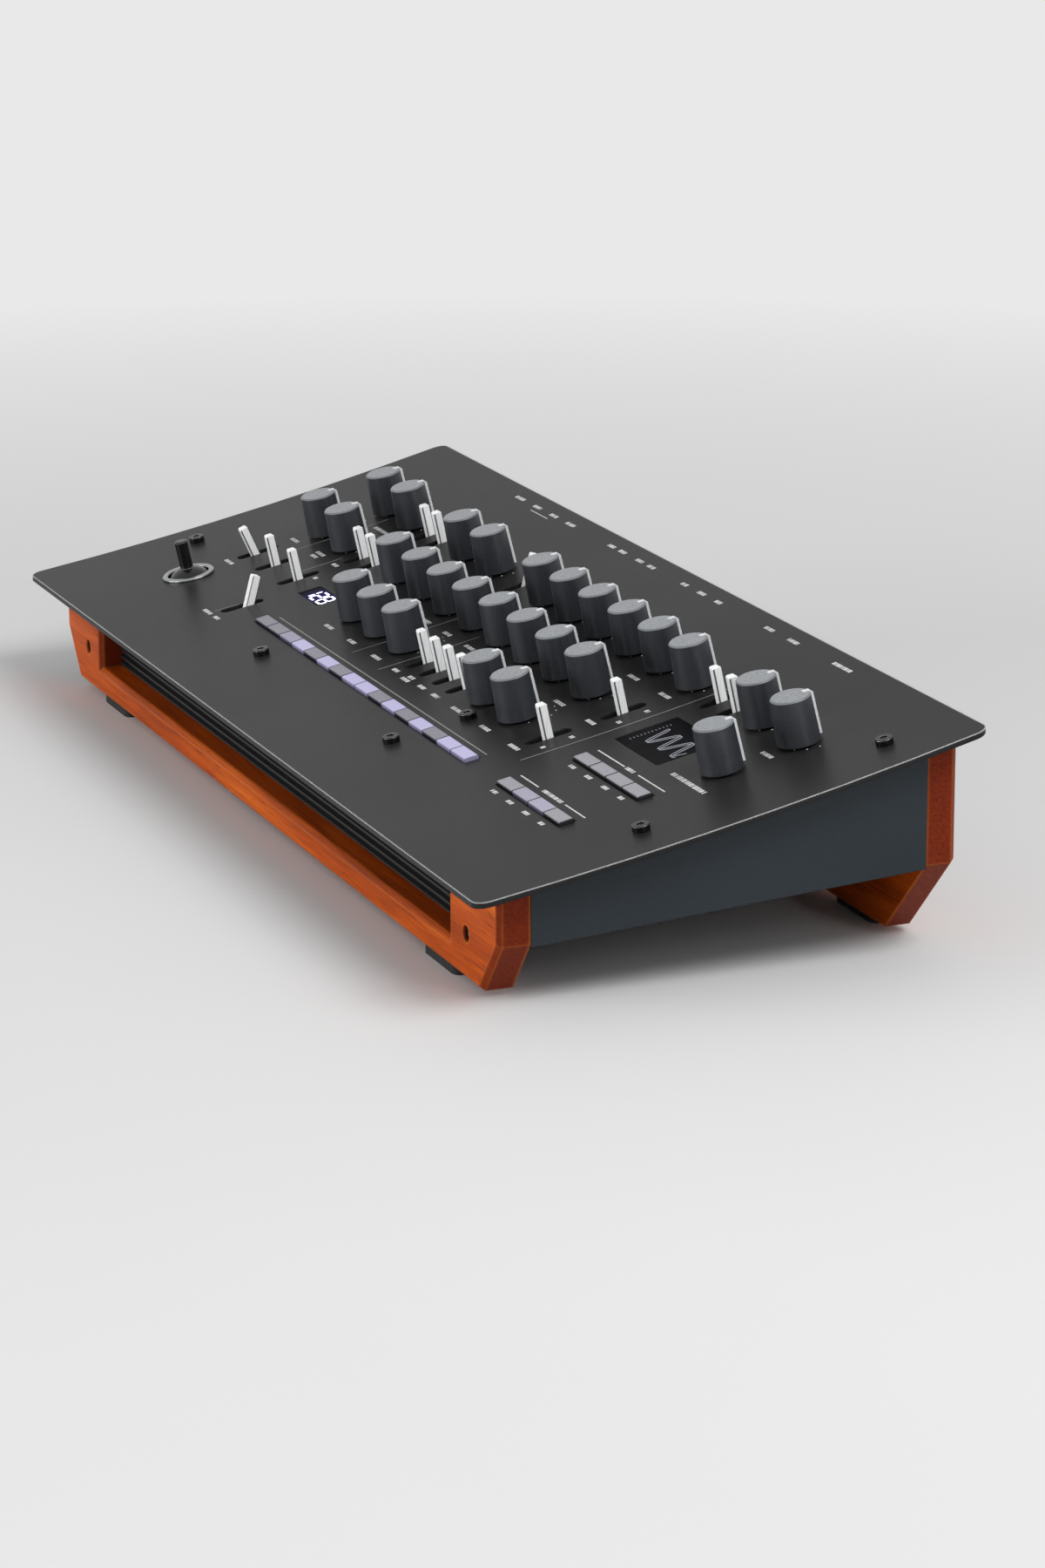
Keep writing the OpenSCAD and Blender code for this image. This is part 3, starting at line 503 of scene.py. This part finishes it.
step_cap = lit_caps("step_cap", "step_buttons", 16,
                    {3: 0.3, 4: 1, 6: 1, 8: 1, 9: 1, 11: 1, 13: 1, 15: 1, 16: 1},
                    violet, colour(118, 116, 128), colour(132, 130, 142), colour(34, 33, 46))
function_cap = lit_caps("function_cap", "function_buttons", 4, {2: 0.25, 3: 0.35}, violet,
                        colour(140, 139, 146), colour(155, 154, 161), colour(24, 24, 28), True)
pointer_white = printed("pointer_white", colour(232, 233, 235), colour(206, 208, 210))
print_white = printed("print_white", colour(222, 223, 222), colour(188, 190, 190))
print_grey = printed("print_grey", colour(148, 147, 144), colour(122, 122, 120))
digit_light = glowing("digit_light", colour(222, 222, 255), 3.0)
trace_light = glowing("trace_light", colour(132, 134, 142), 0.22)
tick_light = glowing("tick_light", colour(104, 106, 112), 0.1)

node_finish = {
    "top_panel": panel_coat, "chassis": tray_coat, "front_rail": rail_wood,
    "rear_rail": rail_wood, "front_vent": vent_black, "rear_sockets": connector_metal,
    "circuit_board": board_green, "display_glass": pane_black, "screws": black_oxide,
    "rubber_feet": foot_rubber, "joystick_base": ring_silver,
    "joystick_gimbal": gimbal_black, "joystick": stick_black,
    "step_buttons": step_cap, "function_buttons": function_cap,
    "program_encoder": knob_grey,
}
for name, node in nodes.items():
    coat = node_finish.get(name)
    if coat is None:
        coat = knob_grey if name.startswith("knob") else lever_silver
    node.data.materials.clear()
    node.data.materials.append(coat)


# ---- Pieces made here ----

def piece(name, mesh_or_bmesh, material, body):
    """Makes an object of a mesh, and ties it to its body."""
    if isinstance(mesh_or_bmesh, bmesh.types.BMesh):
        bmesh.ops.recalc_face_normals(mesh_or_bmesh, faces=mesh_or_bmesh.faces[:])
        mesh = bpy.data.meshes.new(name)
        mesh_or_bmesh.to_mesh(mesh)
        mesh_or_bmesh.free()
    else:
        mesh = mesh_or_bmesh
    if material is not None:
        mesh.materials.clear()
        mesh.materials.append(material)
    thing = bpy.data.objects.new(name, mesh)
    scene.collection.objects.link(thing)
    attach(thing, body)
    return thing


def add_strip(bm, lower, upper):
    """A closed strip between two rows of cross-sections: lower and upper give the
    (left, right) points of its underside and its upper side, one pair for each row."""
    rows = [[bm.verts.new(p) for p in (low[0], low[1], top[1], top[0])]
            for low, top in zip(lower, upper)]
    for a, b in zip(rows, rows[1:]):
        for i in range(4):
            j = (i + 1) % 4
            bm.faces.new((a[i], a[j], b[j], b[i]))
    bm.faces.new(rows[0])
    bm.faces.new(rows[-1][::-1])


INK_DEPTH = 0.02 * MM
INK_PROUD = 0.03 * MM
LONGEST_INK_ROW = 6  # millimetres of bar between two rows that meet the panel's curve
BLOCK_WIDTHS = (1.0, 1.5, 0.8, 1.9, 1.2)
LETTER_GAP, WORD_GAP = 0.42, 0.75


def add_ink(bm, x, depth, width, length):
    """A printed bar on the panel: centre and size in millimetres, following its curve."""
    rows = max(1, math.ceil(length / LONGEST_INK_ROW))
    lower, upper = [], []
    for i in range(rows + 1):
        y = panel_y(depth - length / 2 + length * i / rows)
        left, right = (x - width / 2) * MM, (x + width / 2) * MM
        lower.append([panel_point(px, y, -INK_DEPTH) for px in (left, right)])
        upper.append([panel_point(px, y, INK_PROUD) for px in (left, right)])
    add_strip(bm, lower, upper)


def add_caption(bm, x, depth, width, size=1.5, seed=0):
    """A generic mark: a short row of small blocks of uneven width."""
    left, n = x - width / 2, seed
    while left < x + width / 2 - 0.4:
        block = min(BLOCK_WIDTHS[n % len(BLOCK_WIDTHS)], x + width / 2 - left)
        add_ink(bm, left + block / 2, depth, block, size)
        left += block + (LETTER_GAP if n % 4 else WORD_GAP)
        n += 1


# Captions: centre, distance from the panel's front edge and width, millimetres.
captions = [
    (-191.5, 122.3, 11), (-167.2, 122.3, 13), (90.4, 122.3, 9), (118, 122.3, 9), (202.8, 122.3, 8),
    (-190.7, 94, 8), (-162.5, 95, 9), (-162.5, 92.2, 6), (-142.3, 94, 6), (-41, 94, 7),
    (-19.6, 94, 7), (3, 94, 8), (90.4, 94, 9), (118.6, 94, 7),
    (-188.9, 65.5, 9), (-70.4, 65.5, 8), (-45.3, 65.5, 7), (-19, 65.5, 8), (2.5, 65.5, 6),
    (15.3, 66.6, 5), (15.3, 64.2, 7), (28.8, 65.5, 6), (42.3, 65.5, 6), (63.7, 65.5, 9),
    (91, 65.5, 8), (118.6, 65.5, 9), (-132.5, 37.7, 9), (-122, 37.7, 5),
    (-145.4, 174, 9), (-127.6, 174, 7), (-110.5, 174, 7), (-93.4, 174, 8), (-52, 174, 6),
    (-41.5, 174, 6), (-25, 174, 6), (-14, 174, 6), (17, 174, 5), (32.5, 174, 6), (48, 174, 6),
    (92, 174, 7), (112, 174, 8), (152.5, 174, 15),
    (126.6, 83.6, 2.4), (127.6, 72.6, 2.4), (126.6, 111.8, 2.4), (127.6, 100.8, 2.4),
    (-134.4, 82.8, 2.6),
]
white_print = bmesh.new()
for n, (x, depth, width) in enumerate(captions):
    add_caption(white_print, x, depth, width, 1.7, n)
add_caption(white_print, 203.5, 93.6, 27, 1.9, 3)
# Over each row of function buttons a broken line with a caption in its gap, and under it
# one caption for each button.
rows_left, rows_right = 147, 203.7
for depth, left_end, mark, right_start in ((84.9, 170, (174.8, 7.6), 181.6),
                                           (56.5, 163, (175.5, 17), 186.5)):
    add_ink(white_print, (rows_left + left_end) / 2, depth, left_end - rows_left, 0.55)
    add_caption(white_print, mark[0], depth, mark[1] - 0.8, 1.6, 2)
    add_ink(white_print, (right_start + rows_right) / 2, depth, rows_right - right_start, 0.55)
    for i, x in enumerate((154.5, 168.5, 182.8, 196.9)):
        add_caption(white_print, x, depth - 12.6, 4.6, 1.6, i)
# The line that joins two of the captions along the rear edge.
add_ink(white_print, -118.8, 171, 17.5, 0.35)
piece("panel_captions", white_print, print_white, "body")

# Thin lines that part the sections of the panel, from the front towards the rear, and the
# long line behind the step buttons.
section_lines = bmesh.new()
for x, near, far in ((-178, 89, 129.5), (-148.5, 82, 99), (-33, 61, 104), (-4.9, 61, 101),
                     (132.7, 62, 140.6), (-131, 40, 50)):
    add_ink(section_lines, x, (near + far) / 2, 0.4, far - near)
add_ink(section_lines, 8.75, 55.8, 217.5, 0.5)
piece("section_lines", section_lines, print_grey, "body")


def scale_dot_tree():
    """Dots in a ring round each point of a mesh, lying square to the controls."""
    tree = bpy.data.node_groups.new("ring_of_dots", "GeometryNodeTree")
    sides = tree.interface
    sides.new_socket("Geometry", in_out="INPUT", socket_type="NodeSocketGeometry")
    for name, kind, value in (("Ring radius", "NodeSocketFloat", 8.7 * MM),
                              ("Dot radius", "NodeSocketFloat", 0.32 * MM),
                              ("Dot height", "NodeSocketFloat", 0.08 * MM),
                              ("First angle", "NodeSocketFloat", math.radians(-60)),
                              ("Angle step", "NodeSocketFloat", math.radians(30)),
                              ("Dots", "NodeSocketInt", 11),
                              ("Lean", "NodeSocketFloat", 0.0)):
        sides.new_socket(name, in_out="INPUT", socket_type=kind).default_value = value
    sides.new_socket("Ink", in_out="INPUT", socket_type="NodeSocketMaterial")
    sides.new_socket("Geometry", in_out="OUTPUT", socket_type="NodeSocketGeometry")

    def add(kind, **settings):
        node = tree.nodes.new(kind)
        for key, value in settings.items():
            setattr(node, key, value)
        return node

    def join(output, target):
        tree.links.new(output, target)

    given, result = add("NodeGroupInput"), add("NodeGroupOutput")
    line = add("GeometryNodeMeshLine")
    join(given.outputs["Dots"], line.inputs["Count"])
    line.inputs["Offset"].default_value = (0, 0, 0)
    number = add("GeometryNodeInputIndex")
    turn = add("ShaderNodeMath", operation="MULTIPLY_ADD")
    join(number.outputs[0], turn.inputs[0])
    join(given.outputs["Angle step"], turn.inputs[1])
    join(given.outputs["First angle"], turn.inputs[2])
    parts = []
    for operation in ("COSINE", "SINE"):
        wave = add("ShaderNodeMath", operation=operation)
        join(turn.outputs[0], wave.inputs[0])
        arm = add("ShaderNodeMath", operation="MULTIPLY")
        join(wave.outputs[0], arm.inputs[0])
        join(given.outputs["Ring radius"], arm.inputs[1])
        parts.append(arm)
    spot = add("ShaderNodeCombineXYZ")
    join(parts[0].outputs[0], spot.inputs[0])
    join(parts[1].outputs[0], spot.inputs[1])
    ring = add("GeometryNodeSetPosition")
    join(line.outputs[0], ring.inputs["Geometry"])
    join(spot.outputs[0], ring.inputs["Position"])
    dot = add("GeometryNodeMeshCylinder", fill_type="NGON")
    dot.inputs["Vertices"].default_value = 12
    join(given.outputs["Dot radius"], dot.inputs["Radius"])
    join(given.outputs["Dot height"], dot.inputs["Depth"])
    dots = add("GeometryNodeInstanceOnPoints")
    join(ring.outputs[0], dots.inputs["Points"])
    join(dot.outputs["Mesh"], dots.inputs["Instance"])
    lean = add("ShaderNodeCombineXYZ")
    join(given.outputs["Lean"], lean.inputs[0])
    rings = add("GeometryNodeInstanceOnPoints")
    join(given.outputs["Geometry"], rings.inputs["Points"])
    join(dots.outputs[0], rings.inputs["Instance"])
    join(lean.outputs[0], rings.inputs["Rotation"])
    whole = add("GeometryNodeRealizeInstances")
    join(rings.outputs[0], whole.inputs[0])
    inked = add("GeometryNodeSetMaterial")
    join(whole.outputs[0], inked.inputs["Geometry"])
    join(given.outputs["Ink"], inked.inputs["Material"])
    join(inked.outputs[0], result.inputs[0])
    return tree


def grown(name, points, tree, settings):
    """Runs a node tree on loose points and returns the result as a plain mesh."""
    seed_mesh = bpy.data.meshes.new(name + "_points")
    seed_mesh.from_pydata(points, [], [])
    seed = bpy.data.objects.new(name + "_points", seed_mesh)
    scene.collection.objects.link(seed)
    modifier = seed.modifiers.new("grow", "NODES")
    modifier.node_group = tree
    for item in tree.interface.items_tree:
        if item.item_type == "SOCKET" and item.in_out == "INPUT" and item.name in settings:
            modifier[item.identifier] = settings[item.name]
    graph = bpy.context.evaluated_depsgraph_get()
    mesh = bpy.data.meshes.new_from_object(seed.evaluated_get(graph), depsgraph=graph)
    seed.modifiers.clear()
    bpy.data.objects.remove(seed)
    mesh.name = name
    return mesh


turned = [(name.removesuffix("_turn"), Vector(j["pos_m"])) for name, j in joints.items()
          if name.endswith("_turn")]
knobs = [(name, at) for name, at in turned if name.startswith("knob")]
lean = math.atan2(-controls_up.y, controls_up.z)
ring_points = [panel_point(at.x, at.y, 0.01 * MM) for _, at in knobs]
dots = grown("scale_dots", ring_points, scale_dot_tree(), {"Lean": lean, "Ink": print_white})
piece("scale_dots", dots, None, "body")


# The pointer's skin, from the knob's foot to its top: distance behind the knob's axis and
# height, how far it stands proud, all in millimetres, and its outward direction (back, up).
POINTER_ROWS = (((8.4, 0.4), 0.05, (1, 0)), ((7.9, 15.4), 0.05, (0.8, 0.55)),
                ((7.1, 16.2), 0.02, (0.4, 0.9)), ((4.6, 16.2), 0.01, (0, 1)))
POINTER_SUNK = 1.1 * MM
POINTER_HALF = 1.1 * MM


def pointer_line(knob, foot):
    """The pale skin over a knob's pointer rib: up its back and over the edge of the top."""
    bm = bmesh.new()
    lower, upper = [], []
    aside = across_x * POINTER_HALF
    for (back, up), proud, outward in POINTER_ROWS:
        spot = foot + controls_back * (back * MM) + controls_up * (up * MM)
        push = (controls_back * outward[0] + controls_up * outward[1]).normalized()
        root, skin = spot - push * POINTER_SUNK, spot + push * (proud * MM)
        lower.append([root - aside, root + aside])
        upper.append([skin - aside, skin + aside])
    add_strip(bm, lower, upper)
    return piece(knob + "_pointer_line", bm, pointer_white, knob)


for name, at in turned:
    pointer_line(name, at)


LOWEST_HEAD, HIGHEST_HEAD = 1.0 * MM, 2.5 * MM  # how far a panel screw's head stands up


def screw_tops():
    """Foot and direction of each panel screw's head, from the screws themselves. The rail
    screws are left out, because their heads don't stand on the panel."""
    bm = bmesh.new()
    bm.from_mesh(nodes["screws"].data)
    bmesh.ops.remove_doubles(bm, verts=bm.verts[:], dist=1e-6)
    left, tops = set(bm.verts), []
    while left:
        queue = [left.pop()]
        screw = []
        while queue:
            v = queue.pop()
            screw.append(v.co.copy())
            beside = {e.other_vert(v) for e in v.link_edges} & left
            left -= beside
            queue += beside
        centre = sum(screw, Vector()) / len(screw)
        under = panel_point(centre.x, centre.y)
        up = (panel_point(centre.x, centre.y, MM) - under).normalized()
        peak = max(p.dot(up) for p in screw)
        crown = [p for p in screw if p.dot(up) > peak - 0.05 * MM]
        middle = sum(crown, Vector()) / len(crown)
        rise = (middle - panel_point(middle.x, middle.y)).dot(up)
        if LOWEST_HEAD < rise < HIGHEST_HEAD:
            tops.append((middle - up * rise, up))
    bm.free()
    return tops


CAP_SIDES = 24
CAP_RADIUS, CAP_HEIGHT, KEY_HALF = 3.05 * MM, 2.4 * MM, 1.55 * MM
CAP_BEVEL = 0.3 * MM
CAP_LIFT, KEY_FLOOR = 0.05 * MM, 1.6 * MM


def add_cap_head(bm, foot, up):
    """A cap head with a hexagonal socket, standing over a screw's own low head."""
    side = across_x - up * across_x.dot(up)
    side.normalize()
    ahead = up.cross(side)
    rings = []
    # A ring whose radius is None follows the key's hexagon.
    for reach, rise in ((CAP_RADIUS, CAP_LIFT), (CAP_RADIUS, CAP_HEIGHT - CAP_BEVEL),
                        (CAP_RADIUS - CAP_BEVEL, CAP_HEIGHT), (None, CAP_HEIGHT),
                        (None, KEY_FLOOR)):
        ring = []
        for i in range(CAP_SIDES):
            turn = math.tau * i / CAP_SIDES
            flat = math.cos(math.pi / 6) / math.cos(turn % (math.pi / 3) - math.pi / 6)
            across = reach or KEY_HALF * flat
            ring.append(bm.verts.new(foot + side * (across * math.cos(turn))
                                     + ahead * (across * math.sin(turn)) + up * rise))
        rings.append(ring)
    for low_ring, high_ring in zip(rings, rings[1:] + rings[:1]):
        for i in range(CAP_SIDES):
            j = (i + 1) % CAP_SIDES
            bm.faces.new((low_ring[i], low_ring[j], high_ring[j], high_ring[i]))


heads = bmesh.new()
for head_foot, head_up in screw_tops():
    add_cap_head(heads, head_foot, head_up)
piece("panel_screw_heads", heads, screw_black, "body")


# ---- Displays ----

MARK_SUNK, MARK_PROUD = 0.02 * MM, 0.04 * MM


def add_pane_mark(bm, centre, line, half_width):
    """A thin raised line on a pane through points given in millimetres from its centre."""
    spots = [centre + across_x * (x * MM) + controls_back * (y * MM) for x, y in line]
    lower, upper = [], []
    for i, spot in enumerate(spots):
        before, after = spots[max(i - 1, 0)], spots[min(i + 1, len(spots) - 1)]
        side = (after - before).normalized().cross(controls_up) * (half_width * MM)
        low, top = spot - controls_up * MARK_SUNK, spot + controls_up * MARK_PROUD
        lower.append([low - side, low + side])
        upper.append([top - side, top + side])
    add_strip(bm, lower, upper)


# Two like waves side by side: millimetres from the middle of the screen.
WAVE_START, WAVE_LENGTH, WAVE_STEPS = -11, 27.5, 84
WAVE_HEIGHT, WAVE_PERIOD, WAVE_SHIFT = 5.3, 10.3, 0.75
traces = bmesh.new()
for shift in (-WAVE_SHIFT, WAVE_SHIFT):
    wave = []
    for i in range(WAVE_STEPS + 1):
        x = WAVE_START + WAVE_LENGTH * i / WAVE_STEPS
        wave.append((x, WAVE_HEIGHT * math.cos(math.tau * (x - WAVE_START - shift) / WAVE_PERIOD)))
    add_pane_mark(traces, screen_centre, wave, 0.28)
piece("screen_trace", traces, trace_light, "body")
TICKS, TICK_PITCH, FIRST_TICK, TICK_ENDS = 12, 1.4, -8, (-14.6, -13.4)
ticks = bmesh.new()
for i in range(TICKS):
    height = FIRST_TICK + i * TICK_PITCH
    add_pane_mark(ticks, screen_centre, [(end, height) for end in TICK_ENDS], 0.2)
piece("screen_ticks", ticks, tick_light, "body")

# The seven segments of a digit: both ends of each, in millimetres from the digit's middle.
segments = {"a": ((-2.1, 3.3), (2.1, 3.3)), "g": ((-2.1, 0), (2.1, 0)),
            "d": ((-2.1, -3.3), (2.1, -3.3)),
            "f": ((-2.6, 0.4), (-2.6, 2.9)), "b": ((2.6, 0.4), (2.6, 2.9)),
            "e": ((-2.6, -2.9), (-2.6, -0.4)), "c": ((2.6, -2.9), (2.6, -0.4))}
shapes = {"1": "bc", "2": "abged", "8": "abcdefg"}
DIGIT_PITCH = 7
digits = bmesh.new()
for place_x, figure in ((-DIGIT_PITCH, "1"), (0, "2"), (DIGIT_PITCH, "8")):
    for letter in shapes[figure]:
        (x0, y0), (x1, y1) = segments[letter]
        add_pane_mark(digits, digits_centre, [(place_x + x0, y0), (place_x + x1, y1)], 0.44)
piece("display_digits", digits, digit_light, "body")


# ---- Floor, light and camera ----

FLOOR_HALF = 6
FADE_START, FADE_END = 0.4, 1.1  # distance over which the floor turns to the backdrop's tone
WORLD_LIGHT = 0.42
EYE_AT = (1.61904, -0.62378, 0.49077)
FOCAL_LENGTH = 111.65


def floor():
    bm = bmesh.new()
    bmesh.ops.create_grid(bm, x_segments=1, y_segments=1, size=FLOOR_HALF)
    mesh = bpy.data.meshes.new("floor")
    bm.to_mesh(mesh)
    bm.free()
    ground = bpy.data.objects.new("floor", mesh)
    scene.collection.objects.link(ground)
    pale = finish("floor_pale", colour(224, 224, 224), 0.7, Specular_IOR_Level=0.3)
    drive(pale, Base_Color=mixed(pale, grain(pale, place(pale), 3), colour(222, 222, 222),
                                 colour(227, 227, 227)))
    # Far from the part the floor looks evenly pale, but throws no more light on it.
    away = measured(pale, "LENGTH", object_point(pale))
    seen = put(pale, "LightPath").outputs
    share = sums(pale, "MAXIMUM", sums(pale, "MAXIMUM", seen["Is Camera Ray"],
                                       seen["Is Glossy Ray"]), seen["Is Transmission Ray"])
    share = sums(pale, "MULTIPLY", share, spread(pale, away, FADE_START, FADE_END))
    even = put(pale, "Emission", {"Color": BACKDROP, "Strength": 1.0}).outputs[0]
    both = put(pale, "MixShader", {0: share, 1: shader_of(pale).outputs[0], 2: even}).outputs[0]
    pale.node_tree.links.new(both, pale.node_tree.nodes["Material Output"].inputs["Surface"])
    mesh.materials.append(pale)


def softbox(name, spot, aim, width, height, power):
    """A rectangular lamp aimed at a point, its power in watts."""
    lamp = bpy.data.lights.new(name, "AREA")
    lamp.shape, lamp.size, lamp.size_y, lamp.energy = "RECTANGLE", width, height, power
    thing = bpy.data.objects.new(name, lamp)
    thing.location = spot
    thing.rotation_euler = (Vector(aim) - Vector(spot)).to_track_quat("-Z", "Y").to_euler()
    scene.collection.objects.link(thing)


def studio():
    world = scene.world or bpy.data.worlds.new("studio")
    scene.world = world
    world.use_nodes = True
    # What the camera and shiny faces see is as pale as the floor; the light is softer.
    nodes_of, links_of = world.node_tree.nodes, world.node_tree.links
    back = nodes_of["Background"]
    back.inputs["Color"].default_value = (1.0, 1.0, 1.0, 1)
    seen = nodes_of.new("ShaderNodeLightPath")
    share = seen.outputs["Is Camera Ray"]
    for ray in ("Is Glossy Ray", "Is Transmission Ray"):
        either = nodes_of.new("ShaderNodeMath")
        either.operation = "MAXIMUM"
        links_of.new(share, either.inputs[0])
        links_of.new(seen.outputs[ray], either.inputs[1])
        share = either.outputs[0]
    strength = nodes_of.new("ShaderNodeMapRange")
    links_of.new(share, strength.inputs["Value"])
    strength.inputs["To Min"].default_value = WORLD_LIGHT
    strength.inputs["To Max"].default_value = BACKDROP[0]
    links_of.new(strength.outputs[0], back.inputs["Strength"])
    softbox("key_box", (1.3, 0.62, 1.65), (0.05, 0, 0.03), 1.4, 1.0, 27)
    softbox("front_box", (-0.2, -2.4, 0.55), (0, 0, 0.04), 1.9, 0.7, 34)
    softbox("right_strip", (2.4, 0.7, 0.6), (0.1, 0, 0.04), 0.5, 1.6, 9)


def camera():
    """The view from the front right, low and long."""
    yaw, pitch, roll = -1.18937374, 0.271836216, -0.00276663
    ahead = Vector((math.sin(yaw) * math.cos(pitch), math.cos(yaw) * math.cos(pitch),
                    -math.sin(pitch)))
    right = Vector((math.cos(yaw), -math.sin(yaw), 0))
    up = right.cross(ahead)
    side = right * math.cos(roll) + up * math.sin(roll)
    top = up * math.cos(roll) - right * math.sin(roll)
    eye = bpy.data.cameras.new("view")
    eye.sensor_fit, eye.sensor_height, eye.sensor_width = "VERTICAL", 36, 24
    eye.lens, eye.clip_end = FOCAL_LENGTH, 40
    thing = bpy.data.objects.new("view", eye)
    turn = Matrix((side, top, -ahead)).transposed().to_4x4()
    thing.matrix_world = Matrix.Translation(EYE_AT) @ turn
    scene.collection.objects.link(thing)
    scene.camera = thing


floor()
studio()
camera()
scene.view_settings.view_transform = "Standard"
